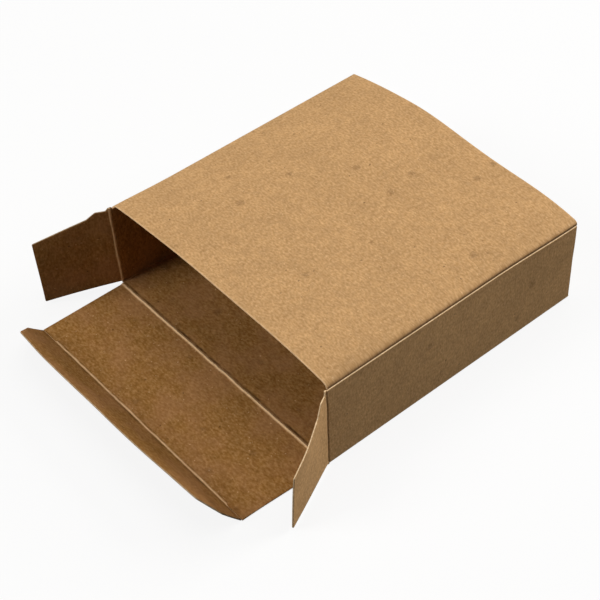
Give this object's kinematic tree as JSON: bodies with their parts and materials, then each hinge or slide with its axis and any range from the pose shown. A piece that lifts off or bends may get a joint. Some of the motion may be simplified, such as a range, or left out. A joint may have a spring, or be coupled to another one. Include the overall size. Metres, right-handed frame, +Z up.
{
  "type": "tuck end folding carton",
  "caption": "Low folding carton in kraft board with tuck end flaps and a bowed top, rear end closed, front end open with its closure laid flat.",
  "frame": {"origin": "centre of the base between the side panels and between the closures, on the surface it stands on", "axes": "+X to the side with the glue joint, +Y to the closed rear end, +Z up"},
  "size_m": [0.121, 0.1441, 0.0362],
  "materials": {
    "kraft_face": "matte",
    "kraft_back": "matte"
  },
  "bodies": {
    "sleeve": {"sleeve": "kraft_face"},
    "front_closure": {"front_closure_panel": "kraft_back"},
    "front_lip": {"front_tuck_lip": "kraft_back"},
    "front_dust_left": {"front_dust_flap_left": "kraft_back"},
    "front_dust_right": {"front_dust_flap_right": "kraft_face"},
    "rear_closure": {"rear_closure_panel": "kraft_face"},
    "rear_lip": {"rear_tuck_lip": "kraft_face"}
  },
  "joints": [
    {"name": "front_closure_crease", "type": "hinge", "parent": "sleeve", "child": "front_closure", "pos_m": [0, -0.0509, 0.0004], "axis": [-1, 0, 0], "range_deg": [0, 83]},
    {"name": "front_lip_crease", "type": "hinge", "parent": "front_closure", "child": "front_lip", "pos_m": [0, -0.0815, 0.0004], "axis": [-1, 0, 0], "range_deg": [-46, 51]},
    {"name": "front_dust_left_crease", "type": "hinge", "parent": "sleeve", "child": "front_dust_left", "pos_m": [-0.0504, -0.05025, 0], "axis": [0, 0, 1], "range_deg": [-70, 110]},
    {"name": "front_dust_right_crease", "type": "hinge", "parent": "sleeve", "child": "front_dust_right", "pos_m": [0.0504, -0.05025, 0], "axis": [0, 0, -1], "range_deg": [-65, 115]},
    {"name": "rear_closure_crease", "type": "hinge", "parent": "sleeve", "child": "rear_closure", "pos_m": [0, 0.0509, 0.0004], "axis": [-1, 0, 0], "range_deg": [0, 90]},
    {"name": "rear_lip_crease", "type": "hinge", "parent": "rear_closure", "child": "rear_lip", "pos_m": [0, 0.0509, 0.031], "axis": [1, 0, 0], "range_deg": [0, 52.2]}
  ],
  "couplings": [
    {"joint": "rear_lip_crease", "follows": "rear_closure_crease", "ratio": 0.58}
  ]
}
